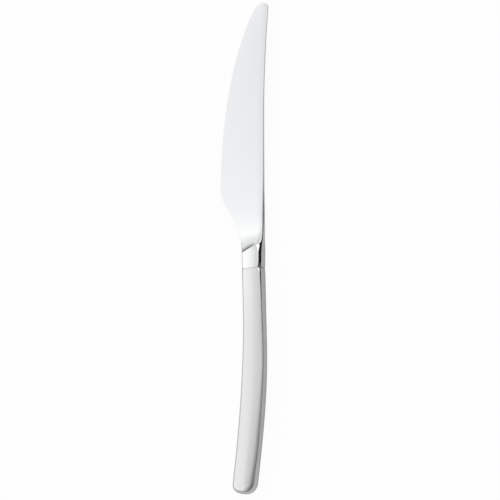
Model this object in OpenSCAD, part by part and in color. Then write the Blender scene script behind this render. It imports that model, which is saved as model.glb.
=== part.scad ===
// Hollow-handle table knife, lying on its back with the cutting edge to the left.
// Working frame: Y runs from the joint between bolster and handle (Y = 0) to the tip,
// X is measured from the spine line of the blade, Z from the middle of the thickness.

/* [Blade] */
// Joint to tip, measured along the blade
blade_length = 125.6; // [116:0.2:136]
// Widest part of the blade, at the heel
blade_width = 21.2; // [18:0.1:24]
// Joint to the widest part of the blade
heel_distance = 37; // [33:0.5:41]
// Thickness of the spine beside the bolster
spine_thickness = 2.6; // [2:0.1:3.4]
// Thickness of the spine at the tip
tip_thickness = 0.6; // [0.5:0.1:1.2]
// Thickness left at the cutting edge
edge_thickness = 0.4; // [0.3:0.05:0.8]
// How far the spine sweeps outwards at the tip
tip_rise = 2.2; // [0:0.1:4]
// Joint to the place where the spine starts to sweep
sweep_start = 70; // [55:1:85]
// Corner between the spine and the tip
tip_radius = 2.5; // [1.5:0.1:3.5]
// How far the spine swells out beside the heel
spine_swell = 0.2; // [0:0.05:0.4]

/* [Bolster] */
// Joint to the shoulder ridge on the edge side
bolster_length = 6.7; // [5.5:0.1:9]
// How much further forward the ridge lies on the spine side
ridge_skew = 5.1; // [3:0.1:7]
// Length of the hollow that runs from the ridge down to the blade
cove_length = 11.5; // [8:0.5:14]
// How far the flank of the bolster lies inside the spine line
spine_inset = 0.2; // [0.1:0.05:0.8]
// How far the other flank spreads from the joint to the ridge
bolster_spread = 0.3; // [0:0.05:0.6]

/* [Handle] */
// Joint to the end of the butt
handle_length = 104.6; // [96:0.2:116]
// Width at the joint
joint_width = 9.8; // [8.6:0.1:11]
// Width of the lower half
belly_width = 11; // [9.8:0.1:12.6]
// Thickness at the bolster and in the lower half
end_thickness = 7.2; // [6.4:0.1:8.4]
// Thickness of the waist behind the joint
waist_thickness = 6.5; // [5.8:0.1:7.2]
// Joint to the end of the waist
waist_span = 70; // [55:1:85]
// Height of the crown on the front and back faces
face_crown = 0.32; // [0.2:0.02:0.5]
// Rounding of the long edges at the joint
joint_fillet = 1; // [0.6:0.1:1.4]
// Rounding of the long edges at the butt
butt_fillet = 1.3; // [0.8:0.1:1.6]
// Rounding of the end of the butt
end_fillet = 1.7; // [1:0.1:2]
// How far the faces sink towards the spine side at the butt
butt_roll = 1.2; // [0.4:0.1:1.4]
// Corner of the butt on the edge side, seen from the front
edge_corner = 3.6; // [2.8:0.1:4.4]
// Corner of the butt on the spine side, seen from the front
spine_corner = 5.6; // [4.6:0.1:7]
// Lean of the handle to the spine side at the joint, in degrees
joint_lean = 1.8; // [0:0.1:3]
// Lean of the handle to the edge side at the butt, in degrees
butt_lean = 6.6; // [4:0.1:9]
// How far the butt lies to the edge side of the joint
butt_offset = 4.4; // [2:0.1:6]
// Sheet thickness of the two half shells
wall = 0.7; // [0.5:0.05:0.9]
// Depth of the flat that the back rests on
land_depth = 0.05; // [0.03:0.01:0.08]

/* [Joints] */
// Braze line between the two half shells
seam_gap = 0.3; // [0.2:0.05:0.5]
// Solder line between bolster and handle
joint_gap = 0.25; // [0.15:0.05:0.4]
// How far the solder lies below the surface
joint_groove = 0.15; // [0.05:0.05:0.3]
// Length of the tang behind the joint
tang_length = 58; // [45:1:70]
// Width of the tang at the bolster
tang_width = 5.8; // [5:0.1:6.2]
// Width of the tang at its end
tang_end_width = 4.4; // [3.8:0.1:5]
// Thickness of the tang
tang_thickness = 3; // [2.4:0.1:3.6]
// Joint to the first keying notch in the tang
notch_start = 10; // [6:0.5:14]
// Distance from one notch to the next
notch_pitch = 14; // [11:0.5:17]
// Length of one notch
notch_length = 5; // [3:0.5:6]
// Depth of one notch
notch_depth = 0.8; // [0.4:0.1:1.1]
// How far the cement reaches past the end of the tang
cement_reach = 5; // [2:0.5:9]
// Film between the cement and the parts that it holds
cement_film = 0.05; // [0.02:0.01:0.1]

/* [Hidden] */

// Number of facets along each stretch
fillet_steps = 3;
face_steps = 6;
bolster_steps = 4;
flare_steps = 12;
belly_steps = 13;
tip_steps = 6;
handle_steps = 18;
corner_steps = 6;
cement_steps = 10;

// Small roundings of the blade, the flat left on its edge and the crown of its faces
spine_round = 0.2;
edge_flat = 0.06;
edge_round = (edge_thickness - edge_flat) / 2;
blade_crown = 0.04;
// The spine thins out fast at first, then slowly towards the tip
taper_power = 2.2;

// How steeply the cove climbs to the ridge, and how closely the facets crowd there
cove_power = 2;
flare_crowd = 1.6;
// The spine-side flank starts to thin out before the ridge, over this length, and only near the flank
flank_lead = 4.1;
flank_fade = 8.8;
flank_power = 5;

// Where along the blade the spine swells out most, and how far the swell reaches to either side
swell_place = 24;
swell_reach = 18;

// Shape of the cutting edge: how it leaves the bolster, reaches the heel and runs into the tip
choil_run = 16.5;
choil_drift = 1.4;
heel_run = 6;
heel_drift = 0.1;
belly_run = 31;
tip_reach = 4.8;
tip_drop = 3.9;
tip_run = 24.7;
tip_bend = 2.5;
tip_flat = 2.1;
tip_slope = 27.5;
// The last section stops just short of the point where the two sides of the tip meet
tip_stop = 0.93;

// Shape of the handle: reach of the bends of its centre line, where it widens, straight before the butt
joint_reach = 42;
butt_reach = 42;
swell_start = 12;
swell_end = 54;
butt_straight = 1;

// Tang: how far it is rooted in the bolster, and how many notches it has
tang_root = 3;
notch_count = 3;

function mix(a, b, q) = a + (b - a) * q;
function limit(q) = min(1, max(0, q));
function ease(q) = let (c = limit(q)) c * c * (3 - 2 * c);
function unit(v) = v / norm(v);
function bezier(p, t) =
    p[0] * pow(1 - t, 3) + p[1] * 3 * t * pow(1 - t, 2) + p[2] * 3 * t * t * (1 - t) + p[3] * pow(t, 3);
function bezier_heading(p, t) =
    unit((p[1] - p[0]) * pow(1 - t, 2) + (p[2] - p[1]) * 2 * t * (1 - t) + (p[3] - p[2]) * t * t);
// Place on a curve that runs towards -Y where it reaches a given distance, found by halving
function bezier_place(p, distance, low = 0, high = 1, halvings = 24) =
    let (t = (low + high) / 2)
    halvings == 0 ? t :
    -bezier(p, t).y < distance ? bezier_place(p, distance, t, high, halvings - 1) :
    bezier_place(p, distance, low, t, halvings - 1);

// Half a cross-section from the left flank over the face to the right flank. left and right are
// plan points on the flanks, left_in and right_in point inwards from them. The flanks reach the
// heights hl and hr, rounded by rl and rr, and the whole is crowned.
function half_section(left, left_in, right, right_in, hl, hr, rl, rr, crown, bend = 1, base = 0) =
    let (
        width = norm(right - left),
        left_top = left + left_in * rl,
        right_top = right + right_in * rr,
        bulge = function (across) 4 * crown * across / width * (1 - across / width)
    )
    concat(
        [[left.x, left.y, base]],
        [for (k = [0:fillet_steps])
            let (a = 90 * k / fillet_steps, inset = rl * (1 - cos(a)), p = left + left_in * inset)
            [p.x, p.y, hl - rl + rl * sin(a) + bulge(inset)]],
        [for (k = [1:face_steps - 1])
            let (q = k / face_steps, p = mix(left_top, right_top, q))
            [p.x, p.y, mix(hl, hr, pow(q, bend)) + bulge(mix(rl, width - rr, q))]],
        [for (k = [fillet_steps:-1:0])
            let (a = 90 * k / fillet_steps, inset = rr * (1 - cos(a)), p = right + right_in * inset)
            [p.x, p.y, hr - rr + rr * sin(a) + bulge(inset)]],
        [[right.x, right.y, base]]
    );
half_count = 2 * (fillet_steps + 2) + face_steps - 1;

// Closed section: a half section without its feet, and its mirror image below the middle
function whole_section(half) = concat(
    [for (k = [1:half_count - 2]) half[k]],
    [for (k = [half_count - 2:-1:1]) [half[k].x, half[k].y, -half[k].z]]
);
right_corner = half_count - 3;

// Skin over closed sections, either capped at both ends or joined from the last to the first
module loft(sections, endless = false) {
    n = len(sections[0]);
    count = len(sections);
    skin = [for (i = [0:count - (endless ? 1 : 2)], k = [0:n - 1])
        let (a = i * n, b = (i + 1) % count * n, next = (k + 1) % n)
        each [[a + k, b + k, b + next], [a + k, b + next, a + next]]];
    // A cap is a row of strips from the upper half of the section to the lower half
    cap = [for (k = [0:n / 2 - 2]) each [[k, k + 1, n - 2 - k], [k, n - 2 - k, n - 1 - k]]];
    far_cap = [for (f = cap) [for (k = [2:-1:0]) f[k] + (count - 1) * n]];
    polyhedron(
        [for (section = sections) each section],
        endless ? skin : concat(cap, skin, far_cap),
        convexity = 6
    );
}

// Centre line of the handle: a curve from the joint to the butt, then straight to its end
joint_centre = [-(spine_inset + joint_width / 2), 0];
butt_heading = [-sin(butt_lean), -cos(butt_lean)];
butt_end = joint_centre + [-butt_offset, -handle_length];
butt_start = butt_end - butt_heading * (max(edge_corner, spine_corner) + butt_straight);
handle_line = [
    joint_centre,
    joint_centre + joint_reach * [sin(joint_lean), -cos(joint_lean)],
    butt_start - butt_heading * butt_reach,
    butt_start
];

// A station of the handle holds its centre, its heading towards the butt, whether it lies on the
// corners of the butt, and how far these have turned there
function line_station(t) = [bezier(handle_line, t), bezier_heading(handle_line, t), 0, 0];
solder_t = joint_gap / (3 * joint_reach);
joint_station = line_station(0);
shell_station = line_station(solder_t);
shell_stations = concat(
    [shell_station],
    [for (k = [1:handle_steps]) line_station(k / handle_steps)],
    [for (k = [0:corner_steps]) [butt_end, butt_heading, 1, 90 * k / corner_steps]]
);

function station_distance(s) = -s[0].y;
function to_spine(s) = [-s[1].y, s[1].x];
function handle_width(s) =
    mix(joint_width, belly_width, ease((station_distance(s) - swell_start) / (swell_end - swell_start)));
function handle_thickness(s) =
    let (waist = (1 - cos(360 * limit(station_distance(s) / waist_span))) / 2)
    mix(end_thickness, waist_thickness, waist);
function handle_fillet(s) =
    let (long_edge = mix(joint_fillet, butt_fillet, ease(station_distance(s) / handle_length)))
    mix(long_edge, end_fillet, sin(s[3]));
// The faces sink from the middle towards the spine side, more and more towards the butt
function handle_roll(s, p) =
    let (across = limit((p - s[0]) * to_spine(s) / (handle_width(s) / 2)))
    butt_roll * limit(station_distance(s) / handle_length) * across * across;
// The crown sinks to nothing towards the end of the butt
function end_room(s) =
    s[2] * (edge_corner + spine_corner) / 2 * (1 - sin(s[3])) + handle_length - station_distance(s);
function handle_crown(s) =
    let (loss = 1 - limit((end_room(s) - end_fillet) / (belly_width / 2)))
    face_crown * (1 - loss * loss);

// Plan point on a flank, side -1 for the edge side and 1 for the spine side, and the way inwards from it
function flank(s, side, corner) =
    s[0] - s[1] * s[2] * corner * (1 - sin(s[3]))
    + side * to_spine(s) * (handle_width(s) / 2 - s[2] * corner * (1 - cos(s[3])));
function inwards(s, side) = -side * to_spine(s) * cos(s[3]) - s[1] * sin(s[3]);
function left_flank(s) = flank(s, -1, edge_corner);
function right_flank(s) = flank(s, 1, spine_corner);

// Front half of the handle's section, moved inwards by depth
function handle_half(s, depth, base = 0) =
    let (
        h = handle_thickness(s) / 2 - face_crown - depth,
        r = max(handle_fillet(s) - depth, wall / 4),
        half = half_section(
            left_flank(s) + inwards(s, -1) * depth, inwards(s, -1),
            right_flank(s) + inwards(s, 1) * depth, inwards(s, 1),
            h, h, r, r, handle_crown(s), 1, base
        )
    )
    [for (p = half) [p.x, p.y, p.z - handle_roll(s, [p.x, p.y]) * (p.z - base) / (h - base)]];

// Cutting edge from the bolster out to the heel, along the belly and round the tip
joint_left = left_flank(joint_station);
joint_right = right_flank(joint_station);
ridge_left = [joint_left.x - bolster_spread, bolster_length];
heel = [-blade_width, heel_distance];
tip_point = [tip_rise - tip_radius, blade_length];
belly_end = tip_point - [tip_reach, tip_drop];
belly_heading = [sin(tip_slope), cos(tip_slope)];
edge_flare = [ridge_left, ridge_left + [-choil_drift, choil_run], heel + [heel_drift, -heel_run], heel];
edge_belly = [heel, heel + [0, belly_run], belly_end - belly_heading * tip_run, belly_end];
edge_tip = [belly_end, belly_end + belly_heading * tip_bend, tip_point - [tip_flat, 0], tip_point];
edge_line = concat(
    [for (k = [1:flare_steps]) bezier(edge_flare, pow(k / flare_steps, flare_crowd))],
    [for (k = [1:belly_steps]) bezier(edge_belly, k / belly_steps)],
    [for (k = [1:tip_steps]) bezier(edge_tip, tip_stop * k / tip_steps)]
);

// Spine line: nearly straight, with a slight swell beside the heel, then swept outwards, then
// rounded into the tip
ridge_end = bolster_length + ridge_skew;
corner_start = blade_length - tip_radius;
function flank_share(y) = 1 - ease((y - ridge_end + flank_lead) / flank_fade);
function spine_x(y) =
    tip_rise * pow(limit((y - sweep_start) / (corner_start - sweep_start)), 2)
    - tip_radius + sqrt(pow(tip_radius, 2) - pow(max(0, y - corner_start), 2))
    + spine_swell * (1 - ease(abs(y - swell_place) / swell_reach))
    - spine_inset * flank_share(y);
function taper(y) = pow(1 - limit((y - ridge_end) / (blade_length - ridge_end)), taper_power);
function spine_half(y) = mix(tip_thickness, spine_thickness, taper(y)) / 2;

// Sections of the bolster and blade, each from a point on the edge side to one on the spine side.
// cove is 1 on the bolster and falls to 0 where the hollow before the ridge runs out
bolster_half = end_thickness / 2 - face_crown;
function blade_section(left, right, cove) =
    let (share = flank_share(right.y), across = unit(right - left))
    whole_section(half_section(
        left, across, right, -across,
        mix(edge_thickness / 2, bolster_half, cove), mix(spine_half(right.y), bolster_half, share),
        mix(edge_round, joint_fillet, cove), mix(spine_round, joint_fillet, share),
        mix(blade_crown, face_crown, cove), mix(1, flank_power, cove)
    ));
function ridge_lag(y) = ridge_skew * (1 - ease((y - bolster_length) / (heel_distance - bolster_length)));
bolster_sections = [for (k = [0:bolster_steps])
    let (q = k / bolster_steps, right_y = mix(joint_right.y, ridge_end, q))
    blade_section(
        mix(joint_left, ridge_left, q),
        [mix(joint_right.x, spine_x(right_y), ease(q * bolster_steps)), right_y],
        1
    )];
blade_sections = [for (left = edge_line)
    let (right_y = left.y + ridge_lag(left.y), cove = 1 - limit((left.y - bolster_length) / cove_length))
    blade_section(left, [spine_x(right_y), right_y], pow(cove, cove_power))];

// Placing: the middle of the knife's outline at X = Y = 0, the flat of its back at Z = 0
outline = concat(
    [for (section = concat(bolster_sections, blade_sections)) each [section[0], section[right_corner]]],
    [for (s = shell_stations) each [left_flank(s), right_flank(s)]]
);
outline_x = [for (p = outline) p.x];
outline_y = [for (p = outline) p.y];
land_height = -(end_thickness / 2 - land_depth);
module place() {
    translate([-(min(outline_x) + max(outline_x)) / 2, -(min(outline_y) + max(outline_y)) / 2, -land_height])
        children();
}

// Takes the lowest layer off the crown, which leaves a flat for the knife to lie on
module with_land() {
    size = 2 * (handle_length + blade_length);
    difference() {
        children();
        translate([-size / 2, -size / 2, land_height - end_thickness]) cube([size, size, end_thickness]);
    }
}

// Plan of the tang with its keying notches, grown by a film all round
module tang_plan(grow) {
    function half(y) = mix(tang_width, tang_end_width, -y / tang_length) / 2 + grow;
    notch_tops = [for (k = [0:notch_count - 1]) -(notch_start + k * notch_pitch)];
    side = concat(
        [[half(0), tang_root]],
        [for (top = notch_tops)
            let (end = top - notch_length)
            each [
                [half(top), top + grow],
                [half(top) - notch_depth, top - notch_depth + grow],
                [half(end) - notch_depth, end + notch_depth - grow],
                [half(end), end - grow]
            ]],
        [[half(-tang_length), -tang_length - grow]]
    );
    other_side = [for (k = [len(side) - 1:-1:0]) [-side[k].x, side[k].y]];
    polygon(concat(side, other_side));
}

module tang(grow = 0) {
    height = tang_thickness + 2 * grow;
    translate([joint_centre.x, 0, -height / 2]) linear_extrude(height) tang_plan(grow);
}

// Blade, bolster and tang are one forging
module blade() {
    color("gainsboro") place() with_land() union() {
        loft(concat(bolster_sections, blade_sections));
        tang();
    }
}

// One pressed half of the handle, with its rim at the seam and its open end at the joint
module half_shell() {
    n = half_count;
    last = (len(shell_stations) - 1) * n;
    outer = [for (s = shell_stations) each handle_half(s, 0, seam_gap / 2)];
    inner = [for (s = shell_stations) each handle_half(s, wall, seam_gap / 2)];
    skip = len(outer);
    top = fillet_steps + 1;
    // Outer skin with its closed end at the butt; the inner skin is the same, turned over
    sheet = concat(
        [for (a = [0:n:last - n], k = [0:n - 2])
            each [[a + k, a + n + k, a + n + k + 1], [a + k, a + n + k + 1, a + k + 1]]],
        [for (k = [0:top - 2])
            let (a = last + k, b = last + n - 1 - k)
            each [[a, b, b - 1], [a, b - 1, a + 1]]],
        [for (k = [top:n - 1 - top]) [last + top - 1, last + k + 1, last + k]]
    );
    turned = [for (f = sheet) [f[2] + skip, f[1] + skip, f[0] + skip]];
    joint_rim = [for (k = [0:n - 2]) each [[k, k + 1, k + 1 + skip], [k, k + 1 + skip, k + skip]]];
    seam_rim = concat(
        [for (a = [0:n:last - n])
            let (b = a + n - 1)
            each [
                [a, a + skip, a + n + skip], [a, a + n + skip, a + n],
                [b, b + n, b + n + skip], [b, b + n + skip, b + skip]
            ]],
        [[last, last + skip, last + n - 1 + skip], [last, last + n - 1 + skip, last + n - 1]]
    );
    polyhedron(concat(outer, inner), concat(sheet, turned, joint_rim, seam_rim), convexity = 6);
}

module front_shell() {
    color("silver") place() half_shell();
}

module back_shell() {
    color("darkgray") place() with_land() mirror([0, 0, 1]) half_shell();
}

// Braze that joins the half shells along both flanks and round the butt
module shell_seam() {
    function strip(out, in) =
        let (z = seam_gap / 2, back = out + in * wall)
        [[out.x, out.y, z], [back.x, back.y, z], [back.x, back.y, -z], [out.x, out.y, -z]];
    last = len(shell_stations) - 1;
    left_side = [for (s = shell_stations) strip(left_flank(s), inwards(s, -1))];
    right_side = [for (s = shell_stations) strip(right_flank(s), inwards(s, 1))];
    color("dimgray") place() loft(concat(left_side, [for (k = [last:-1:0]) right_side[k]]));
}

// Solder between the bolster and the ends of the half shells
module joint_solder() {
    function ring(s, depth) = whole_section(handle_half(s, depth));
    color("slategray") place() loft([
        ring(shell_station, joint_groove),
        ring(joint_station, joint_groove),
        ring(joint_station, wall),
        ring(shell_station, wall)
    ], endless = true);
}

// Cement that fills the upper part of the handle round the tang
module tang_cement() {
    end_t = bezier_place(handle_line, tang_length + cement_reach);
    stations = [for (k = [cement_steps:-1:0]) line_station(mix(solder_t, end_t, k / cement_steps))];
    color("tan") place() difference() {
        loft([for (s = stations) whole_section(handle_half(s, wall + cement_film))]);
        tang(cement_film);
    }
}

blade();
front_shell();
back_shell();
shell_seam();
joint_solder();
tang_cement();
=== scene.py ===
# %% [markdown]
# # A hollow-handle table knife
#
# The knife is a forged blade with a bolster and a hidden tang, and a handle of two pressed half
# shells that are brazed together, filled with cement and soldered to the bolster. The solids of
# these pieces come in as a fixed frame. This lesson gives each piece that shows a smooth skin and
# a finish, and sets up a small studio round them. Lengths are in metres, in the frame's own axes:
# +Y towards the tip, +X towards the spine, +Z up out of the front face.

# %% Load the frame
import math
from types import SimpleNamespace

import bmesh
import bpy
from mathutils import Matrix, Vector


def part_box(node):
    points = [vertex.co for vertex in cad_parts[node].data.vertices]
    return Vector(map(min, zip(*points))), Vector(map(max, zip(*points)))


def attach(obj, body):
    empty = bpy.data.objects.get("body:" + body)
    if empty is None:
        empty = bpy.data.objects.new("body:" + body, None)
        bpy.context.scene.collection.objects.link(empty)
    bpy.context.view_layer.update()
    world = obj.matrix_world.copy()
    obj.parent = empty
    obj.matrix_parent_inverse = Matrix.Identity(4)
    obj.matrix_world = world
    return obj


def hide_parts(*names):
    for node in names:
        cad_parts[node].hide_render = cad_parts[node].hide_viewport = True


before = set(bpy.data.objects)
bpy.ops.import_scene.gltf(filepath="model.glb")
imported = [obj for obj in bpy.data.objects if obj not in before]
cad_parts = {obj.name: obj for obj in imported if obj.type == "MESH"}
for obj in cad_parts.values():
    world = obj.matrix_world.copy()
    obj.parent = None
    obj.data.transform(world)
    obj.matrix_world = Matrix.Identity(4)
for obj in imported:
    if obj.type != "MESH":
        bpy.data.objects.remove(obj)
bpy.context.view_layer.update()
print("frame:", sorted(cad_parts))

# %% [markdown]
# ## Sizes
#
# A designer keeps a few driving sizes and works the rest out from them. These are the sizes of the
# solids, so that the smooth pieces lie where the solids lie. Only the last sizes of the handle, from
# the rounding of its rim on, belong to the skin alone: they ease its edges. All are measured from
# the joint between bolster and handle (Y = 0), from the spine line (X = 0) and from the middle of
# the thickness (Z = 0). The box of the blade's solid tells where that place lies in the frame.

# %% Driving sizes
mm = 0.001

blade_length = 125.6 * mm
blade_width = 21.2 * mm
heel_distance = 37 * mm
spine_thickness = 2.6 * mm
tip_thickness = 0.6 * mm
edge_thickness = 0.4 * mm
tip_rise = 2.2 * mm
sweep_start = 70 * mm
tip_radius = 2.5 * mm
spine_swell = 0.2 * mm

bolster_length = 6.7 * mm
ridge_skew = 5.1 * mm
cove_length = 11.5 * mm
spine_inset = 0.2 * mm
bolster_spread = 0.3 * mm

wall = 0.7 * mm
land_depth = 0.05 * mm
seam_gap = 0.3 * mm
joint_gap = 0.25 * mm
tang_length = 58 * mm

handle = SimpleNamespace(
    length=104.6 * mm,
    joint_width=9.8 * mm,
    belly_width=11 * mm,
    end_thickness=7.2 * mm,
    waist_thickness=6.5 * mm,
    waist_span=70 * mm,
    face_crown=0.32 * mm,
    joint_fillet=1 * mm,
    butt_fillet=1.3 * mm,
    end_fillet=1.7 * mm,
    butt_roll=1.2 * mm,
    edge_corner=3.6 * mm,
    spine_corner=5.6 * mm,
    rim_round=0.2 * mm,
    spine_side_rise=0.5 * mm,
    spine_side_reach=1.7 * mm,
    spine_side_lean=0.4 * mm,
    joint_side_rise=0.85 * mm,
    joint_side_span=18 * mm,
    end_lean=0.55 * mm,
    spine_end_lean=0.85 * mm,
    spine_end_start=20 * mm,
    spine_end_span=18 * mm,
)

blade_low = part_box("blade")[0]
land_height = -(handle.end_thickness / 2 - land_depth)
joint_place = Vector((blade_low.x + blade_width, blade_low.y + tang_length, -land_height))
print("joint of bolster and handle lies at", [round(c / mm, 2) for c in joint_place], "mm")

# %% [markdown]
# ## Arithmetic that also works inside Geometry Nodes
#
# The handle follows one rule from end to end: a section that swells and bends along a centre line.
# Such a rule could be a Python loop or a Geometry Nodes tree. A tree keeps the sizes as inputs that
# can be turned later, but wiring some four hundred nodes by hand is slow. So a small class
# stands for "a number that the tree works out at every point": adding or multiplying two of them
# adds a Math node. The same rule then takes plain numbers as well.


# %% Numbers of a node tree
class NodeNumber:
    """A number that a node tree works out, written like ordinary arithmetic."""

    def __init__(self, tree, socket):
        self.tree = tree
        self.socket = socket

    def math(self, operation, *others):
        node = self.tree.nodes.new("ShaderNodeMath")
        node.operation = operation
        for slot, value in zip(node.inputs, (self, *others)):
            plug(self.tree, slot, value)
        return NodeNumber(self.tree, node.outputs[0])

    def __add__(self, other):
        return self.math("ADD", other)

    def __sub__(self, other):
        return self.math("SUBTRACT", other)

    def __mul__(self, other):
        return self.math("MULTIPLY", other)

    def __truediv__(self, other):
        return self.math("DIVIDE", other)

    def __rsub__(self, other):
        return self * -1 + other

    def __neg__(self):
        return self * -1

    __radd__ = __add__
    __rmul__ = __mul__


def plug(tree, slot, value):
    """Links a node number to a socket, or sets the socket to a plain value."""
    if isinstance(value, NodeNumber):
        tree.links.new(value.socket, slot)
    else:
        slot.default_value = value


# %% Functions for both kinds of number
def either(value, operation, plain):
    return value.math(operation) if isinstance(value, NodeNumber) else plain(value)


def sine(angle):
    return either(angle, "SINE", math.sin)


def cosine(angle):
    return either(angle, "COSINE", math.cos)


def root(value):
    return either(value, "SQRT", math.sqrt)


def smaller(a, b):
    return a.math("MINIMUM", b) if isinstance(a, NodeNumber) else min(a, b)


def larger(a, b):
    return a.math("MAXIMUM", b) if isinstance(a, NodeNumber) else max(a, b)


def power(a, b):
    return a.math("POWER", b) if isinstance(a, NodeNumber) else a**b


def limit(share):
    return smaller(larger(share, 0), 1)


def ease(share):
    inside = limit(share)
    return inside * inside * (3 - 2 * inside)


def mix(a, b, share):
    return a + (b - a) * share


def bezier(p, t):
    """Place on a curve with four handles, for one coordinate at a time."""
    s = 1 - t
    return p[0] * s * s * s + 3 * p[1] * s * s * t + 3 * p[2] * s * t * t + p[3] * t * t * t


def bezier_slope(p, t):
    s = 1 - t
    return (p[1] - p[0]) * s * s + 2 * (p[2] - p[1]) * s * t + (p[3] - p[2]) * t * t


print("a quarter of the way, ease gives", ease(0.25))

# %% [markdown]
# ## The rule of the handle
#
# The centre line leaves the joint with a slight lean to the spine side and arrives at the butt with
# a stronger lean to the edge side, which gives the gentle S. Stations are numbered along it: first
# down the curve, then straight on, then round the two corners of the butt, and at last along the
# end of the butt until both sides meet. The faces are crowned, and they also sink from the middle
# towards the spine side, more and more towards the butt. The edge on the spine side is long and low,
# and it leans in, most of all near the butt.

# %% Centre line
joint_lean = math.radians(1.8)
butt_lean = math.radians(6.6)
butt_offset = 4.4 * mm
bend_reach = 42 * mm
swell_start = 12 * mm
swell_end = 54 * mm
butt_straight = 1 * mm

line_steps = 120
straight_steps = 3
corner_steps = 18
face_steps = 28
end_steps = face_steps // 2
last_step = line_steps + straight_steps + corner_steps + end_steps

joint_centre = Vector((-(spine_inset + handle.joint_width / 2), 0))
butt_heading = Vector((-math.sin(butt_lean), -math.cos(butt_lean)))
butt_run = max(handle.edge_corner, handle.spine_corner) + butt_straight
butt_start = joint_centre + Vector((-butt_offset, -handle.length)) - butt_heading * butt_run
handle_line = [
    joint_centre,
    joint_centre + bend_reach * Vector((math.sin(joint_lean), -math.cos(joint_lean))),
    butt_start - bend_reach * butt_heading,
    butt_start,
]
solder_share = joint_gap / (3 * bend_reach)
print("butt turns in", round((butt_start - joint_centre).length / mm, 1), "mm from the joint")


# %% Stations of the handle
def handle_edges(sizes, distance, turn, room):
    """Roundings and leans of the edges. The room is what is left up to the end of the butt."""
    turned = sine(turn) * sine(turn)
    long_edge = mix(sizes.joint_fillet, sizes.butt_fillet, ease(distance / sizes.length))
    side_rise = mix(sizes.joint_side_rise, sizes.spine_side_rise, ease(distance / sizes.joint_side_span))
    near_end = ease((sizes.spine_end_start - room) / sizes.spine_end_span)
    end_lean = mix(sizes.spine_end_lean * near_end, sizes.end_lean, turned)
    return SimpleNamespace(
        fillet=mix(long_edge, sizes.end_fillet, sine(turn)),
        rise=mix(side_rise, sizes.end_fillet, turned),
        reach=mix(sizes.spine_side_reach, sizes.end_fillet, sine(turn)),
        left_lean=sizes.end_lean * turned,
        right_lean=sizes.spine_side_lean * cosine(turn) + end_lean,
    )


def handle_station(sizes, step):
    """Flanks, inward directions and section sizes of the handle at a station, in plan."""
    t = mix(solder_share, 1, limit(step / line_steps))
    straight = limit((step - line_steps) / straight_steps)
    turn = limit((step - line_steps - straight_steps) / corner_steps) * (math.pi / 2)
    close = limit((step - line_steps - straight_steps - corner_steps) / end_steps)

    centre = [bezier([p[axis] for p in handle_line], t) for axis in (0, 1)]
    slope = [bezier_slope([p[axis] for p in handle_line], t) for axis in (0, 1)]
    stretch = root(slope[0] * slope[0] + slope[1] * slope[1])
    heading = [slope[0] / stretch, slope[1] / stretch]
    to_spine = [-heading[1], heading[0]]

    distance = -centre[1]
    swell = ease((distance - swell_start) / (swell_end - swell_start))
    width = mix(sizes.joint_width, sizes.belly_width, swell)
    waist = (1 - cosine(limit(distance / sizes.waist_span) * (2 * math.pi))) / 2
    thickness = mix(sizes.end_thickness, sizes.waist_thickness, waist)
    roll = sizes.butt_roll * limit(distance / sizes.length)

    # The rim at the joint is eased by a small rounding
    rim_share = limit(1 - (distance - joint_gap) / sizes.rim_round)
    rim_drop = (1 - root(larger(1 - rim_share * rim_share, 0))) * sizes.rim_round

    mean_corner = (sizes.edge_corner + sizes.spine_corner) / 2
    progress = straight * (butt_run - mean_corner) + mean_corner * sine(turn)
    room = sizes.length - distance - progress * math.cos(butt_lean)
    crown_loss = 1 - limit((room - sizes.end_fillet) / (sizes.belly_width / 2))
    crown = sizes.face_crown * (1 - crown_loss * crown_loss)

    def flank(side, corner):
        along = straight * (butt_run - corner) + corner * sine(turn)
        across = (width / 2 - corner * (1 - cosine(turn)) - rim_drop) * side
        return [centre[a] + heading[a] * along + to_spine[a] * across for a in (0, 1)]

    def inwards(side):
        return [-to_spine[a] * (cosine(turn) * side) - heading[a] * sine(turn) for a in (0, 1)]

    def sink(x, y):
        across = limit(((x - centre[0]) * to_spine[0] + (y - centre[1]) * to_spine[1]) / (width / 2))
        return roll * across * across

    left = flank(-1, sizes.edge_corner)
    right = flank(1, sizes.spine_corner)
    middle = [(left[a] + right[a]) / 2 for a in (0, 1)]
    return SimpleNamespace(
        left=[mix(left[a], middle[a], close) for a in (0, 1)],
        right=[mix(right[a], middle[a], close) for a in (0, 1)],
        left_in=inwards(-1),
        right_in=inwards(1),
        distance=distance + progress,
        width=width,
        height=thickness / 2 - sizes.face_crown - rim_drop,
        crown=crown,
        sink=sink,
        **vars(handle_edges(sizes, distance, turn, room)),
    )


joint = handle_station(handle, 0)
print("handle is", round(joint.width / mm, 2), "mm wide at the joint")

# %% [markdown]
# ## Finishes
#
# Steel on a knife is never one flat colour. The blade and bolster are polished on a soft wheel,
# which leaves very fine lines along the length and a faint haze. The handle is brushed along its
# length to a satin finish, a little smoother towards its ends. Both are a metallic Principled shader
# whose roughness, tint and bump come from noise, stretched along the strokes of the wheel or brush.

# %% Helpers for finishes
noise_low = 0.3
noise_high = 0.7


def new_finish(name, metallic):
    """A material with its Principled shader, ready for textures."""
    finish = bpy.data.materials.new(name)
    finish.use_nodes = True
    shader = finish.node_tree.nodes["Principled BSDF"]
    shader.inputs["Metallic"].default_value = metallic
    return finish, finish.node_tree, shader


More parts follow.
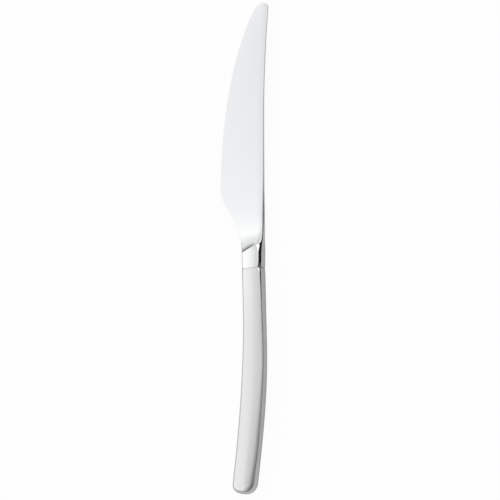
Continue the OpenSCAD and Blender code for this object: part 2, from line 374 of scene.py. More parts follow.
def strokes(tree, coordinate, scale, detail):
    """Noise on stretched coordinates: scale gives the strokes per metre along each axis."""
    places = tree.nodes.new("ShaderNodeTexCoord")
    stretch = tree.nodes.new("ShaderNodeMapping")
    stretch.inputs["Scale"].default_value = scale
    noise = tree.nodes.new("ShaderNodeTexNoise")
    noise.inputs["Scale"].default_value = 1
    noise.inputs["Detail"].default_value = detail
    tree.links.new(places.outputs[coordinate], stretch.inputs["Vector"])
    tree.links.new(stretch.outputs["Vector"], noise.inputs["Vector"])
    return noise.outputs["Fac"]


def ranged(tree, value, low, high):
    """Spreads the useful middle of a noise over a range."""
    spread = tree.nodes.new("ShaderNodeMapRange")
    spread.inputs["From Min"].default_value = noise_low
    spread.inputs["From Max"].default_value = noise_high
    spread.inputs["To Min"].default_value = low
    spread.inputs["To Max"].default_value = high
    tree.links.new(value, spread.inputs["Value"])
    return spread.outputs["Result"]


def tinted(tree, value, dark, light):
    """Colour between two tints, led by a noise."""
    ramp = tree.nodes.new("ShaderNodeValToRGB")
    for stop, place, tint in zip(ramp.color_ramp.elements, (noise_low, noise_high), (dark, light)):
        stop.position = place
        stop.color = (*tint, 1)
    tree.links.new(value, ramp.inputs["Fac"])
    return ramp.outputs["Color"]


def along_knife(tree, start, end):
    """Share that grows from 0 to 1 between two distances from the joint, towards the tip."""
    places = tree.nodes.new("ShaderNodeTexCoord")
    parts = tree.nodes.new("ShaderNodeSeparateXYZ")
    spread = tree.nodes.new("ShaderNodeMapRange")
    spread.interpolation_type = "SMOOTHSTEP"
    spread.inputs["From Min"].default_value = joint_place.y + start
    spread.inputs["From Max"].default_value = joint_place.y + end
    tree.links.new(places.outputs["Object"], parts.inputs[0])
    tree.links.new(parts.outputs["Y"], spread.inputs["Value"])
    return spread.outputs["Result"]


def blended(tree, share, first, second):
    """Colour that goes over from one tint to another."""
    blend = tree.nodes.new("ShaderNodeMix")
    blend.data_type = "RGBA"
    tree.links.new(share, blend.inputs["Factor"])
    tree.links.new(first, blend.inputs[6])
    tree.links.new(second, blend.inputs[7])
    return blend.outputs[2]


def raised(tree, shader, value, height):
    """Bump of a given height in metres."""
    bump = tree.nodes.new("ShaderNodeBump")
    bump.inputs["Strength"].default_value = 1
    bump.inputs["Distance"].default_value = height
    tree.links.new(value, bump.inputs["Height"])
    tree.links.new(bump.outputs["Normal"], shader.inputs["Normal"])


# %% Steel, braze and cement
bolster_tint_end = 14 * mm
blade_tint_start = 27 * mm
buffed_reach = 30 * mm
joint_buffing = 0.65
butt_buffing = 0.92
polish_depth = 0.0002 * mm
brush_depth = 0.002 * mm
braze_depth = 0.004 * mm
cement_depth = 0.05 * mm


def polished_steel():
    finish, tree, shader = new_finish("polished_steel", metallic=1)
    lines = strokes(tree, "Object", (9000, 90, 9000), detail=2)
    haze = strokes(tree, "Object", (90, 40, 90), detail=3)
    bolster_tint = tinted(tree, haze, dark=(0.61, 0.62, 0.615), light=(0.63, 0.64, 0.635))
    blade_tint = tinted(tree, haze, dark=(0.570, 0.575, 0.587), light=(0.581, 0.587, 0.599))
    going_over = along_knife(tree, bolster_tint_end, blade_tint_start)
    tree.links.new(blended(tree, going_over, bolster_tint, blade_tint), shader.inputs["Base Color"])
    tree.links.new(ranged(tree, haze, low=0.09, high=0.14), shader.inputs["Roughness"])
    raised(tree, shader, lines, polish_depth)
    return finish


def satin_steel():
    finish, tree, shader = new_finish("satin_steel", metallic=1)
    brushing = strokes(tree, "UV", (9000, 160, 1), detail=3)
    cloud = strokes(tree, "UV", (300, 30, 1), detail=3)
    tint = tinted(tree, brushing, dark=(0.552, 0.552, 0.552), light=(0.572, 0.572, 0.569))
    tree.links.new(tint, shader.inputs["Base Color"])
    places = tree.nodes.new("ShaderNodeTexCoord")
    parts = tree.nodes.new("ShaderNodeSeparateXYZ")
    tree.links.new(places.outputs["UV"], parts.inputs[0])
    along = NodeNumber(tree, parts.outputs["Y"])
    near_joint = mix(joint_buffing, 1, ease(along / buffed_reach))
    near_butt = mix(butt_buffing, 1, ease((handle.length - along) / buffed_reach))
    roughness = NodeNumber(tree, ranged(tree, cloud, low=0.36, high=0.40)) * (near_joint * near_butt)
    tree.links.new(roughness.socket, shader.inputs["Roughness"])
    raised(tree, shader, brushing, brush_depth)
    return finish


def ground_braze(name, dark, light, roughness):
    finish, tree, shader = new_finish(name, metallic=1)
    grains = strokes(tree, "Object", (5000, 900, 5000), detail=4)
    tree.links.new(tinted(tree, grains, dark, light), shader.inputs["Base Color"])
    shader.inputs["Roughness"].default_value = roughness
    raised(tree, shader, grains, braze_depth)
    return finish


def cast_cement():
    finish, tree, shader = new_finish("cast_cement", metallic=0)
    grains = strokes(tree, "Object", (2500, 2500, 2500), detail=6)
    tint = tinted(tree, grains, dark=(0.42, 0.38, 0.31), light=(0.66, 0.61, 0.52))
    tree.links.new(tint, shader.inputs["Base Color"])
    shader.inputs["Roughness"].default_value = 0.9
    raised(tree, shader, grains, cement_depth)
    return finish


polished = polished_steel()
satin = satin_steel()
seam_braze = ground_braze(
    "seam_braze",
    dark=(0.62, 0.61, 0.59),
    light=(0.70, 0.69, 0.67),
    roughness=0.36,
)
# Ground solder whose colour is darkened far below silver: painted shade of the narrow groove between bolster
# and handle
solder_with_painted_groove_shade = ground_braze(
    "solder_with_painted_groove_shade",
    dark=(0.14, 0.14, 0.138),
    light=(0.22, 0.218, 0.215),
    roughness=0.5,
)
cement = cast_cement()
print("finishes:", [m.name for m in (polished, satin, seam_braze, solder_with_painted_groove_shade, cement)])

# %% [markdown]
# ## From a tree to a plain mesh
#
# A tree that makes a piece ends with Realize Instances and Set Material. Its result is then turned
# into a plain mesh, with the object at the origin and its place in the mesh. Edges where the
# surface really breaks are marked sharp, so that smooth shading stops there.

# %% Helpers for pieces
sharp_angle = math.radians(28)
nodes_per_column = 12
column_width = 220
row_height = 180


def new_tree(name, inputs):
    """An empty tree with named number inputs, a material input and a geometry output."""
    tree = bpy.data.node_groups.new(name, "GeometryNodeTree")
    for label in inputs:
        tree.interface.new_socket(label, in_out="INPUT", socket_type="NodeSocketFloat")
    tree.interface.new_socket("Finish", in_out="INPUT", socket_type="NodeSocketMaterial")
    tree.interface.new_socket("Geometry", in_out="OUTPUT", socket_type="NodeSocketGeometry")
    return tree


def add_node(tree, kind, **values):
    """A node with some of its inputs set or linked, by the input's name."""
    node = tree.nodes.new(kind)
    for label, value in values.items():
        slot = node.inputs[label.replace("_", " ")]
        if isinstance(value, bpy.types.NodeSocket):
            tree.links.new(value, slot)
        else:
            plug(tree, slot, value)
    return node


def end_tree(tree, geometry, finish):
    """Closes a tree: smooth shading, instances made real, finish set."""
    smooth = add_node(tree, "GeometryNodeSetShadeSmooth", Geometry=geometry)
    real = add_node(tree, "GeometryNodeRealizeInstances", Geometry=smooth.outputs[0])
    dressed = add_node(tree, "GeometryNodeSetMaterial", Geometry=real.outputs[0], Material=finish)
    tree.links.new(dressed.outputs[0], tree.nodes.new("NodeGroupOutput").inputs[0])
    for place, node in enumerate(tree.nodes):
        column, row = divmod(place, nodes_per_column)
        node.location = (column * column_width, -row * row_height)


def from_tree(name, tree, values, thickness=0):
    """Runs a tree with the given inputs and returns its result as a plain mesh object."""
    maker = bpy.data.objects.new(name + "_maker", bpy.data.meshes.new(name + "_maker"))
    bpy.context.scene.collection.objects.link(maker)
    nodes = maker.modifiers.new("tree", "NODES")
    nodes.node_group = tree
    for item in tree.interface.items_tree:
        if item.in_out == "INPUT":
            nodes[item.identifier] = values[item.name]
    if thickness:
        sheet = maker.modifiers.new("sheet", "SOLIDIFY")
        sheet.thickness = thickness
        sheet.offset = -1
        sheet.use_quality_normals = True
    evaluated = maker.evaluated_get(bpy.context.evaluated_depsgraph_get())
    mesh = bpy.data.meshes.new_from_object(evaluated)
    mesh.name = name
    bpy.data.objects.remove(maker)
    return finished_piece(name, mesh)


def finished_piece(name, mesh):
    """Marks the sharp edges of a mesh and returns its object, at the origin."""
    shape = bmesh.new()
    shape.from_mesh(mesh)
    for edge in shape.edges:
        edge.smooth = edge.calc_face_angle(0) < sharp_angle
    open_edges = sum(not edge.is_manifold for edge in shape.edges)
    shape.to_mesh(mesh)
    shape.free()
    piece = bpy.data.objects.new(name, mesh)
    bpy.context.scene.collection.objects.link(piece)
    box = [[round(f(v.co[a] for v in mesh.vertices) / mm, 2) for a in range(3)] for f in (min, max)]
    print(name, "has", len(mesh.polygons), "faces,", open_edges, "open edges and the box", box)
    return piece


# %% [markdown]
# ## Half shells of the handle
#
# Each half is pressed from sheet steel. A flat grid is the raw sheet: its long side counts the
# stations of the handle, its short side runs from the left rim up the flank, round the fillet, over
# the crowned face and down the other side. Set Position moves every grid point to its place by the
# rule. The sheet then gets its wall with Solidify, inwards. The front has the leaning edges of the
# rule, and the back has plainer ones.

# %% Section of a half shell
flank_steps = 6
fillet_steps = 12
edge_side_flatness = 1.2
spine_side_flatness = 1.0
profile_steps = 2 * (flank_steps + fillet_steps) + face_steps


def eased_edge(share, flatness):
    """Rise and inset along a long edge of size 1: flatness 1 is a quarter circle, 2 is a flat bevel."""
    angle = share * (math.pi / 2)
    rise = power(larger(sine(angle), 0), flatness)
    inset = 1 - power(larger(cosine(angle), 0), flatness)
    return rise, inset


def section_side(step, base, height, rise, reach, flatness):
    """Height and inset of the section beside one flank, counted in steps from the rim."""
    foot = mix(base, height - rise, limit(step / flank_steps))
    up, inset = eased_edge(limit((step - flank_steps) / fillet_steps), flatness)
    return foot + up * rise, inset * reach


def bulge(across, width, crown):
    """Height of the crown at a distance from the left flank."""
    place = across / width
    return 4 * place * (1 - place) * crown


print("a section of the sheet has", profile_steps + 1, "points")

# %% Tree of a half shell
shell_sizes = list(vars(handle))
weld_distance = 0.001 * mm


def half_shell_tree():
    tree = new_tree("half_shell", [*shell_sizes, "side", "rim", "land"])
    given = tree.nodes.new("NodeGroupInput").outputs
    sizes = SimpleNamespace(**{label: NodeNumber(tree, given[label]) for label in shell_sizes})

    sheet = add_node(tree, "GeometryNodeMeshGrid", Size_X=1, Size_Y=1)
    sheet.inputs["Vertices X"].default_value = last_step + 1
    sheet.inputs["Vertices Y"].default_value = profile_steps + 1
    spot = tree.nodes.new("GeometryNodeInputPosition")
    flat = add_node(tree, "ShaderNodeSeparateXYZ", Vector=spot.outputs[0])
    station = (NodeNumber(tree, flat.outputs[0]) + 0.5) * last_step
    step = (NodeNumber(tree, flat.outputs[1]) + 0.5) * profile_steps

    here = handle_station(sizes, station)
    rim = NodeNumber(tree, given["rim"])
    left_z, left_inset = section_side(
        step, rim, here.height, here.fillet, here.fillet, edge_side_flatness
    )
    right_z, right_inset = section_side(
        profile_steps - step, rim, here.height, here.rise, here.reach, spine_side_flatness
    )
    left_up = (left_z - rim) / (here.height - rim)
    right_up = (right_z - rim) / (here.height - rim)
    left_inset = left_inset + here.left_lean * left_up * left_up
    right_inset = right_inset + here.right_lean * right_up * right_up
    over = limit((step - flank_steps - fillet_steps) / face_steps)
    across = mix(left_inset, here.width - right_inset, over)
    plan = [
        mix(here.left[a] + here.left_in[a] * left_inset, here.right[a] + here.right_in[a] * right_inset, over)
        for a in (0, 1)
    ]
    crowned = left_z + right_z - here.height + bulge(across, here.width, here.crown)
    sunk = crowned - here.sink(*plan) * (crowned - rim) / (here.height - rim)
    height = smaller(sunk, NodeNumber(tree, given["land"]))
    raised_height = height * NodeNumber(tree, given["side"])
    target = add_node(tree, "ShaderNodeCombineXYZ")
    for slot, value, start in zip(target.inputs, (*plan, raised_height), joint_place):
        plug(tree, slot, value + start)

    # Brush strokes follow the sheet: distance across it and distance along it, kept before it is bent
    unrolled = across - here.width / 2 + left_z - right_z
    strokes_at = add_node(tree, "ShaderNodeCombineXYZ", X=unrolled, Y=here.distance)
    mapped = add_node(tree, "GeometryNodeStoreNamedAttribute", Geometry=sheet.outputs[0])
    mapped.data_type = "FLOAT2"
    mapped.domain = "CORNER"
    mapped.inputs["Name"].default_value = "UVMap"
    tree.links.new(strokes_at.outputs[0], mapped.inputs["Value"])

    # Along the end of the butt only the flank and the fillet go on, and the face stops
    past_face = station.math("GREATER_THAN", last_step - end_steps) * over * (1 - over)
    trimmed = add_node(tree, "GeometryNodeDeleteGeometry", Geometry=mapped.outputs[0])
    trimmed.domain = "FACE"
    tree.links.new(past_face.math("GREATER_THAN", 0).socket, trimmed.inputs["Selection"])
    pressed = add_node(
        tree,
        "GeometryNodeSetPosition",
        Geometry=trimmed.outputs[0],
        Position=target.outputs[0],
    )
    closed = add_node(
        tree,
        "GeometryNodeMergeByDistance",
        Geometry=pressed.outputs[0],
        Distance=weld_distance,
    )
    outwards = add_node(tree, "GeometryNodeFlipFaces", Mesh=closed.outputs[0])
    below = NodeNumber(tree, given["side"]).math("LESS_THAN", 0)
    tree.links.new(below.socket, outwards.inputs["Selection"])
    end_tree(tree, outwards.outputs[0], given["Finish"])
    return tree


shell_tree = half_shell_tree()
print("tree of a half shell has", len(shell_tree.nodes), "nodes")

# %% Press the two halves
shell_values = {**vars(handle), "rim": seam_gap / 2, "Finish": satin}
front_half = from_tree(
    "handle_front",
    shell_tree,
    {**shell_values, "side": 1.0, "land": handle.end_thickness},
    wall,
)
back_edges = {
    "end_fillet": handle.butt_fillet,
    "end_lean": 0.0,
    "spine_end_lean": 0.0,
    "joint_side_rise": handle.spine_side_rise,
    "spine_side_lean": handle.spine_side_lean / 2,
}
back_half = from_tree(
    "handle_back",
    shell_tree,
    {**shell_values, **back_edges, "side": -1.0, "land": -land_height},
    wall,
)

for piece, node in ((front_half, "front_shell"), (back_half, "back_shell")):
    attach(piece, "root")
    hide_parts(node)

# %% [markdown]
# ## Braze between the halves
#
# Where the rims of the halves meet, braze fills the gap and is ground flush. It follows a path: down
# one flank, round the butt and up the other. Curve to Mesh sweeps a small rectangle along it.


# %% Tree of the seam
def seam_tree():
    tree = new_tree("seam", [*shell_sizes, "wall", "gap"])
    given = tree.nodes.new("NodeGroupInput").outputs
    sizes = SimpleNamespace(**{label: NodeNumber(tree, given[label]) for label in shell_sizes})
    line = tree.nodes.new("GeometryNodeCurvePrimitiveLine")
    path = add_node(tree, "GeometryNodeResampleCurve", Curve=line.outputs[0], Count=2 * last_step + 1)
    share = NodeNumber(tree, tree.nodes.new("GeometryNodeSplineParameter").outputs["Factor"])

    returning = share.math("GREATER_THAN", 0.5)
    here = handle_station(sizes, (1 - (2 * share - 1).math("ABSOLUTE")) * last_step)
    depth = NodeNumber(tree, given["wall"]) / 2
    plan = [
        mix(here.left[a] + here.left_in[a] * depth, here.right[a] + here.right_in[a] * depth, returning)
        for a in (0, 1)
    ]
    target = add_node(tree, "ShaderNodeCombineXYZ", Z=joint_place.z)
    for slot, value, start in zip(target.inputs, plan, joint_place):
        plug(tree, slot, value + start)
    bent = add_node(tree, "GeometryNodeSetPosition", Geometry=path.outputs[0], Position=target.outputs[0])
    upright = add_node(tree, "GeometryNodeSetCurveNormal", Curve=bent.outputs[0])
    upright.mode = "Z_UP"
    strip = tree.nodes.new("GeometryNodeCurvePrimitiveQuadrilateral")
    tree.links.new(given["wall"], strip.inputs["Width"])
    tree.links.new(given["gap"], strip.inputs["Height"])
    swept = add_node(
        tree,
        "GeometryNodeCurveToMesh",
        Curve=upright.outputs[0],
        Profile_Curve=strip.outputs[0],
        Fill_Caps=True,
    )
    end_tree(tree, swept.outputs[0], given["Finish"])
    return tree


seam_values = {**vars(handle), "wall": wall, "gap": seam_gap, "Finish": seam_braze}
seam = from_tree("seam_braze", seam_tree(), seam_values)
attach(seam, "root")
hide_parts("shell_seam")

# %% [markdown]
# ## Forging of blade, bolster and tang
#
# The forging is one piece of steel whose section changes all the way: a rounded bar at the bolster,
# a slanted ridge with a hollow in front of it, then a slim wedge. A loft suits that: many closed
# sections, each from a point on the edge side to a point on the spine side, joined to the next. The
# edge side follows three curves: the flare to the heel, the belly and the tip.

# %% Edge side and spine side of the blade
choil_run = 16.5 * mm
choil_drift = 1.4 * mm
heel_run = 6 * mm
heel_drift = 0.1 * mm
belly_run = 31 * mm
tip_reach = 4.8 * mm
tip_drop = 3.9 * mm
tip_run = 24.7 * mm
tip_bend = 2.5 * mm
tip_flat = 2.1 * mm
tip_slope = math.radians(27.5)
tip_stop = 0.97
flank_lead = 4.1 * mm
flank_fade = 8.8 * mm
bevel_lead = 7 * mm
bevel_fade = 9 * mm
swell_place = 24 * mm
swell_reach = 18 * mm
taper_power = 2.2

joint_left = Vector(joint.left)
joint_right = Vector(joint.right)
ridge_left = Vector((joint_left.x - bolster_spread, bolster_length))
ridge_end = bolster_length + ridge_skew
corner_start = blade_length - tip_radius
heel = Vector((-blade_width, heel_distance))
tip_point = Vector((tip_rise - tip_radius, blade_length))
belly_end = tip_point - Vector((tip_reach, tip_drop))
belly_heading = Vector((math.sin(tip_slope), math.cos(tip_slope)))

edge_flare = [
    ridge_left,
    ridge_left + Vector((-choil_drift, choil_run)),
    heel + Vector((heel_drift, -heel_run)),
    heel,
]
edge_belly = [heel, heel + Vector((0, belly_run)), belly_end - belly_heading * tip_run, belly_end]
edge_tip = [belly_end, belly_end + belly_heading * tip_bend, tip_point - Vector((tip_flat, 0)), tip_point]


def flank_share(y):
    """1 beside the bolster, 0 where the spine has its own thickness."""
    return 1 - ease((y - ridge_end + flank_lead) / flank_fade)


def bevel_share(y):
    """1 beside the bolster, 0 where the spine has its own bevel."""
    return 1 - ease((y - bevel_lead) / bevel_fade)


def spine_x(y):
    sweep = limit((y - sweep_start) / (corner_start - sweep_start))
    into_corner = max(0, y - corner_start)
    corner = math.sqrt(max(0, tip_radius**2 - into_corner**2)) - tip_radius
    swell = spine_swell * (1 - ease(abs(y - swell_place) / swell_reach))
    return tip_rise * sweep**2 + corner + swell - spine_inset * flank_share(y)


def spine_half(y):
    """Half the thickness of the spine, which thins out fast at first and slowly towards the tip."""
    taper = (1 - limit((y - ridge_end) / (blade_length - ridge_end))) ** taper_power
    return mix(tip_thickness, spine_thickness, taper) / 2


print("heel at", [round(c / mm, 1) for c in heel], "mm, tip at", [round(c / mm, 1) for c in tip_point], "mm")

# %% [markdown]
# The faces are nearly flat on the blade and crowned on the bolster. The front rolls off beside the
# spine, and a bevel that fades out towards the tip eases the edge there. The back keeps a plain
# rounding. The hollow in front of the ridge gets steeper up to the ridge, which is rounded only
# slightly: that is what makes it show as a crisp dark line.

# %% Sections of the forging
bolster_half = handle.end_thickness / 2 - handle.face_crown
heel_bevel = 0.55 * mm
tip_bevel = 0.08 * mm
bevel_start = 22 * mm
bevel_end = 45 * mm
spine_flatness = 1.5
bolster_flatness = 1.85
bolster_bevel = 0.65 * mm
bevel_reach = 1.15 * mm
bolster_lean = 0.35 * mm
bolster_roll = 0.55 * mm
heel_roll = 0.2 * mm
roll_start = 14 * mm
roll_end = 38 * mm
tip_roll = 0.05 * mm
roll_reach = 3.2 * mm
edge_round = 0.15 * mm
spine_round = 0.2 * mm
blade_crown = 0.04 * mm
cove_power = 2
ridge_round = 0.04
flank_power = 5
round_steps = 14
blade_face_steps = 56


def cove_share(y):
    """1 on the bolster, 0 where the hollow runs out, with the ridge between them rounded."""
    hollow = (1 - min(1, (y - bolster_length) / cove_length)) ** cove_power
    near = max(0, ridge_round - abs(hollow - 1))
    return min(1, hollow) - near**2 / (4 * ridge_round)


def forging_half(width, heights, left_round, reach, rise, flatness, bend):
    """Half a section as (distance from the edge side, height), with both its edges eased."""
    half = []
    for k in range(round_steps + 1):
        up, inset = eased_edge(k / round_steps, 1)
        half.append((inset * left_round, heights[0] + (up - 1) * left_round))
    for k in range(1, blade_face_steps):
        q = k / blade_face_steps
        half.append((mix(left_round, width - reach, q), mix(*heights, q**bend)))
    for k in range(round_steps, -1, -1):
        up, inset = eased_edge(k / round_steps, flatness)
        half.append((width - inset * reach, heights[1] + (up - 1) * rise))
    return half


def forging_section(left, right, cove, drop=0):
    """Closed ring of points from the edge side over the front to the spine side and back."""
    share = flank_share(right.y)
    across = (right - left).normalized()
    left_point = left + across * drop
    right_point = right - across * drop
    width = (right_point - left_point).length
    left_height = mix(edge_thickness / 2, bolster_half, cove) - drop
    right_height = mix(spine_half(right.y), bolster_half, share) - drop
    heights = (left_height, right_height)
    fade = ease((right.y - bevel_start) / (bevel_end - bevel_start))
    bevel = mix(heel_bevel, tip_bevel, fade)
    room = min(1, width / (2 * (edge_round + bevel)))
    left_round = mix(edge_round * room, handle.joint_fillet, cove)
    eased = bevel_share(right.y)
    reach = mix(bevel * room, bevel_reach, eased)
    rise = mix(bevel * room, bolster_bevel, eased)
    flatness = mix(spine_flatness, bolster_flatness, eased)
    plain_round = mix(min(bevel, spine_round) * room, handle.joint_fillet, share)
    crown = mix(blade_crown, handle.face_crown, cove)
    settled = ease((right.y - roll_start) / (roll_end - roll_start))
    roll = mix(mix(heel_roll, tip_roll, settled), bolster_roll, eased)
    bend = mix(1, flank_power, cove)

    def place(inset, height):
        return (left_point + across * inset).to_3d() + Vector((0, 0, height)) + joint_place

    ring = []
    for inset, z in forging_half(width, heights, left_round, reach, rise, flatness, bend):
        inset -= bolster_lean * eased * limit(1 - (width - inset) / roll_reach) * limit(z / right_height) ** 2
        sunk = roll * limit(1 - (width - inset) / roll_reach) ** 2
        ring.append(place(inset, z + bulge(inset, width, crown) - sunk))
    for inset, z in reversed(forging_half(width, heights, left_round, plain_round, plain_round, 1, bend)):
        ring.append(place(inset, max(-z - bulge(inset, width, crown), land_height)))
    return ring


print("half the thickness of the bolster beside its crown is", round(bolster_half / mm, 2), "mm")

# %% Sections from the joint to the tip
bolster_steps = 40
rim_steps = 6
flare_steps = 130
belly_steps = 80
tip_steps = 26
ridge_crowding = 1.6
flare_crowding = 1.8
flank_settling = 0.25


def ridge_lag(y):
    return ridge_skew * (1 - ease((y - bolster_length) / (heel_distance - bolster_length)))


def curve_points(p, steps, crowd=1, stop=1):
    """Points along a curve, up to a share of it, crowded towards its start."""
    shares = [stop * (k / steps) ** crowd for k in range(1, steps + 1)]
    return [Vector([bezier([h[a] for h in p], t) for a in (0, 1)]) for t in shares]


def bolster_section(share, drop=0):
    """Section of the bolster between the joint, share 0, and the ridge, share 1."""
    left = joint_left.lerp(ridge_left, share)
    right_y = mix(joint_right.y, ridge_end, share)
    right_x = mix(joint_right.x, spine_x(right_y), ease(share / flank_settling))
    return forging_section(left, Vector((right_x, right_y)), cove_share(left.y), drop)


# The rim at the joint is a quarter round, then the sections crowd towards the ridge
rim_share = handle.rim_round / bolster_length
rings = []
for k in range(rim_steps):
    angle = math.pi / 2 * k / rim_steps
    rings.append(bolster_section(rim_share * (1 - math.cos(angle)), handle.rim_round * (1 - math.sin(angle))))
for k in range(bolster_steps + 1):
    rings.append(bolster_section(mix(1, rim_share, (1 - k / bolster_steps) ** ridge_crowding)))

edge_points = [
    *curve_points(edge_flare, flare_steps, crowd=flare_crowding),
    *curve_points(edge_belly, belly_steps),
    *curve_points(edge_tip, tip_steps, stop=tip_stop),
]
for left in edge_points:
    right_y = left.y + ridge_lag(left.y)
    rings.append(forging_section(left, Vector((spine_x(right_y), right_y)), cove_share(left.y)))
print(len(rings), "sections of", len(rings[0]), "points")

# %% [markdown]
# The tang is part of the same forging. It starts in the end face of the bolster, tapers, and has
# notches in both sides so that the cement grips it. Inside the handle nobody sees it, but it is
# there when the piece is taken apart.

# %% Outline of the tang
tang_width = 5.8 * mm
tang_end_width = 4.4 * mm
tang_thickness = 3 * mm
notch_start = 10 * mm
notch_pitch = 14 * mm
notch_length = 5 * mm
notch_depth = 0.8 * mm
notch_count = 3


def tang_half(distance):
    return mix(tang_width, tang_end_width, distance / tang_length) / 2


def tang_side():
    """Half outline of the tang as (distance from the joint, half width)."""
    side = [(0, tang_half(0))]
    for k in range(notch_count):
        start = notch_start + k * notch_pitch
        end = start + notch_length
        side.append((start, tang_half(start)))
        side.append((start + notch_depth, tang_half(start) - notch_depth))
        side.append((end - notch_depth, tang_half(end) - notch_depth))
        side.append((end, tang_half(end)))
    side.append((tang_length, tang_half(tang_length)))
    return side


def tang_ring(distance, half, slant):
    """Four corners of the tang at a distance from the joint, on a cut that may slant across it."""
    corners = [(-half, 1), (half, 1), (half, -1), (-half, -1)]
    return [
        joint_place + Vector((joint_centre.x + x, x * slant - distance, z * tang_thickness / 2))
        for x, z in corners
    ]


print("the tang has", notch_count, "pairs of notches")


# %% Mesh of the forging
def add_loop(shape, points):
    return [shape.verts.new(p) for p in points]


def skin(shape, a, b):
    for k in range(len(a)):
        after = (k + 1) % len(a)
        shape.faces.new((a[k], a[after], b[after], b[k]))


shape = bmesh.new()
loops = [add_loop(shape, ring) for ring in rings]
for a, b in zip(loops, loops[1:]):
    skin(shape, a, b)
shape.faces.new(loops[-1])

# The first ring of the tang lies in the slanted end face of the bolster
tang_loops = []
end_slant = (joint_right.y - joint_left.y) / (joint_right.x - joint_left.x)
for distance, half in tang_side():
    slant = end_slant if distance == 0 else 0
    tang_loops.append(add_loop(shape, tang_ring(distance, half, slant)))
for a, b in zip(tang_loops, tang_loops[1:]):
    skin(shape, a, b)
shape.faces.new(tang_loops[-1])
shape.edges.ensure_lookup_table()
end_face = []
for loop in (loops[0], tang_loops[0]):
    end_face += [e for e in shape.edges if e.is_boundary and e.verts[0] in loop]
bmesh.ops.triangle_fill(shape, use_beauty=True, edges=end_face)
bmesh.ops.recalc_face_normals(shape, faces=shape.faces)
for face in shape.faces:
    face.smooth = True

forging_mesh = bpy.data.meshes.new("blade_forging")
shape.to_mesh(forging_mesh)
shape.free()
forging_mesh.materials.append(polished)
forging = finished_piece("blade_forging", forging_mesh)
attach(forging, "root")
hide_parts("blade")

# %% [markdown]
# ## Pieces that keep their solid
#
# The solder in the groove between bolster and handle and the cement round the tang have the right
# shape already. They only get a finish: ground solder in the groove, darkened far below silver as
# painted shade of the groove, and cast cement inside.

# %% Solder and cement
for node, finish in (("joint_solder", solder_with_painted_groove_shade), ("tang_cement", cement)):
    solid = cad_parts[node]
    for place in range(len(solid.material_slots)):
        solid.material_slots[place].material = finish
    print(node, "has the finish", finish.name)

# %% [markdown]
# ## Studio
#
# Polished metal shows its surroundings, so the studio is half of the picture. The knife lies on a
# white table in a white tent. A softbox above left brightens what leans that way, and a black card
# on the right puts the dark line along the rounded edge that every photographer of cutlery wants.
# The card stays out of the camera's sight. It stands from beside the blade on towards the tip, so
# the line is black on the bolster and turns grey along the handle.

# %% Table and card
table_half = 4
table_gap = 0.02 * mm
table_grey = 0.75
table_roughness = 0.9
card_away = 0.40
card_top = 0.5
card_end = 0.01
card_reach = 0.8
card_grey = 0.02


def plain_sheet(name, corners):
    mesh = bpy.data.meshes.new(name)
    mesh.from_pydata(corners, [], [(0, 1, 2, 3)])
    sheet = bpy.data.objects.new(name, mesh)
    bpy.context.scene.collection.objects.link(sheet)
    return sheet


def matt_finish(name, grey, roughness):
    """Plain grey without any shine."""
    finish, tree, shader = new_finish(name, metallic=0)
    shader.inputs["Base Color"].default_value = (grey, grey, grey, 1)
    shader.inputs["Roughness"].default_value = roughness
    shader.inputs["Specular IOR Level"].default_value = 0
    return finish, tree, shader


def table_finish(camera_lift, mirror_lift):
    """Pale table that looks whiter than it is lit, to the camera and in the steel, with the shadow kept."""
    finish, tree, shader = matt_finish("table_white", table_grey, table_roughness)
    rays = tree.nodes.new("ShaderNodeLightPath")
    seen = NodeNumber(tree, rays.outputs["Is Camera Ray"])
    mirrored = NodeNumber(tree, rays.outputs["Is Glossy Ray"])
    mirrored = larger(mirrored, NodeNumber(tree, rays.outputs["Is Transmission Ray"]))
    lift = seen * camera_lift + mirrored * mirror_lift
    white = tree.nodes.new("ShaderNodeEmission")
    blend = tree.nodes.new("ShaderNodeMixShader")
    tree.links.new(lift.socket, blend.inputs[0])
    tree.links.new(shader.outputs[0], blend.inputs[1])
    tree.links.new(white.outputs[0], blend.inputs[2])
    tree.links.new(blend.outputs[0], tree.nodes["Material Output"].inputs["Surface"])
    return finish


table = plain_sheet("table", [
    (-table_half, -table_half, -table_gap),
    (table_half, -table_half, -table_gap),
    (table_half, table_half, -table_gap),
    (-table_half, table_half, -table_gap),
])
table.data.materials.append(table_finish(camera_lift=0.95, mirror_lift=0.25))

black_card = plain_sheet("black_card", [
    (card_away, card_end, 0),
    (card_away, card_reach, 0),
    (card_away, card_reach, card_top),
    (card_away, card_end, card_top),
])
black_card.data.materials.append(matt_finish("card_black", card_grey, roughness=1)[0])
black_card.visible_camera = False
black_card.visible_diffuse = False
print("studio has", table.name, "and", black_card.name)

# %% [markdown]
# The tent has no walls of its own: it is the World, whose brightness depends on the direction alone.
# Lamps outside shine through its cloth, a wide one on the left and a narrow one on the right, towards
# the tip. Towards the butt the left gets brighter and the right darker. Low down runs a dark hem,
# which stands taller towards the tip and the butt and gets some light on the left.

# %% Tent
cloth_light = 1.1
right_shade = 0.385
right_butt_shade = 0.55
left_lamp = 0.45
left_butt_lamp = 0.35
right_lamp = 0.85
hem_light = 0.15
hem_left_light = 0.25
wall_light = 0.8
roof_light = 0.2
hem_start = 0.08
hem_rise = 0.21
hem_tip_rise = 0.07
hem_butt_rise = 0.35


def rises(part, start, end):
    """Share that eases from 0 to 1 while one part of a direction goes from start to end."""
    return ease((part - start) / (end - start))


def falls(part, start, end):
    """Share that eases from 1 to 0 while one part of a direction goes from start to end."""
    return 1 - rises(part, start, end)


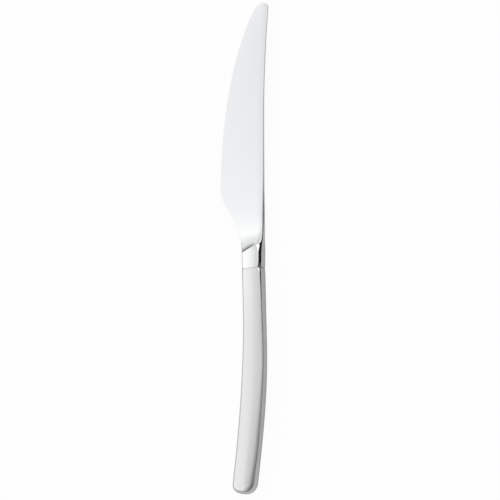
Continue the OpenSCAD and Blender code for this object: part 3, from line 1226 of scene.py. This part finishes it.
def tent():
    world = bpy.data.worlds.new("tent")
    world.use_nodes = True
    tree = world.node_tree
    cloth = tree.nodes["Background"]
    cloth.inputs["Color"].default_value = (1, 1, 1, 1)
    direction = tree.nodes.new("ShaderNodeTexCoord")
    parts = tree.nodes.new("ShaderNodeSeparateXYZ")
    tree.links.new(direction.outputs["Generated"], parts.inputs[0])
    to_right = NodeNumber(tree, parts.outputs[0])
    to_tip = NodeNumber(tree, parts.outputs[1])
    height = NodeNumber(tree, parts.outputs[2])

    butt_side = falls(to_tip, -0.07, 0.13)
    shade = (right_shade + right_butt_shade * butt_side) * rises(to_right, -0.1, 0.6)
    left_glow = (left_lamp + left_butt_lamp * butt_side) * falls(to_right, -0.52, -0.15)
    right_place = rises(to_right, 0.05, 0.2) * falls(to_right, 0.55, 0.75) * rises(to_tip, 0.13, 0.23)
    glow = cloth_light - shade + left_glow + right_lamp * right_place

    hem_left = falls(to_right, -0.6, -0.3) * falls(to_tip, 0.25, 0.45)
    low_light = hem_light + hem_left_light * hem_left
    more_to_tip = hem_tip_rise * rises(to_tip, 0.2, 0.5)
    more_to_butt = hem_butt_rise * falls(to_tip, -0.5, -0.2)
    above_hem = ease((height - hem_start) / (hem_rise + more_to_tip + more_to_butt))
    by_height = mix(low_light, wall_light, above_hem) + roof_light * rises(height, 0.4, 0.85)

    rays = tree.nodes.new("ShaderNodeLightPath")
    seen = NodeNumber(tree, rays.outputs["Is Camera Ray"])
    tree.links.new(mix(glow * by_height, 1, seen).socket, cloth.inputs["Strength"])
    return world


bpy.context.scene.world = tent()
print("tent is worked out by", len(bpy.context.scene.world.node_tree.nodes), "nodes")


# %% Softbox
watts_per_square_metre = 4


def softbox(name, place, aim, width, length, radiance):
    """Area lamp pointed at a place. Its watts follow from its size and the radiance it should have."""
    lamp = bpy.data.lights.new(name, "AREA")
    lamp.shape = "RECTANGLE"
    lamp.size = width
    lamp.size_y = length
    lamp.energy = watts_per_square_metre * width * length * radiance
    box = bpy.data.objects.new(name, lamp)
    bpy.context.scene.collection.objects.link(box)
    box.location = place
    box.rotation_euler = (Vector(aim) - Vector(place)).to_track_quat("-Z", "Y").to_euler()
    return box


left_box = softbox(
    "softbox_left",
    place=(-0.75, 0.25, 1.0),
    aim=(0, 0, 0),
    width=0.7,
    length=1.0,
    radiance=0.05,
)
print(left_box.name, "gives", round(left_box.data.energy, 3), "watts")

# %% [markdown]
# ## Camera
#
# The picture was taken from above with a long lens, leaning a little to the spine side and to the
# butt. So the camera stands two metres away along that direction, and its lens follows from how many
# pixels one metre takes up at that distance.

# %% Camera
lean_right = math.radians(20)
lean_down = math.radians(11)
camera_distance = 2.0
frame_pixels = 500
focal_pixels = 4322.8
offset_right = 5.43
offset_down = 3.294
aim_height = 3.5 * mm

backwards = Vector((math.tan(lean_right), -math.tan(lean_down), 1)).normalized()
rightwards = Vector((0, 1, 0)).cross(backwards).normalized()
upwards = backwards.cross(rightwards)
per_pixel = camera_distance / focal_pixels
aim = Vector((0, 0, aim_height)) + rightwards * offset_right * per_pixel - upwards * offset_down * per_pixel

lens = bpy.data.cameras.new("camera")
lens.sensor_width = 36
lens.lens = lens.sensor_width * focal_pixels / frame_pixels
camera = bpy.data.objects.new("camera", lens)
bpy.context.scene.collection.objects.link(camera)
camera.matrix_world = Matrix.Translation(aim + backwards * camera_distance) @ Matrix(
    (rightwards, upwards, backwards)
).transposed().to_4x4()
bpy.context.scene.camera = camera
bpy.context.scene.view_settings.view_transform = "Standard"
print("lens of", round(lens.lens, 1), "mm")
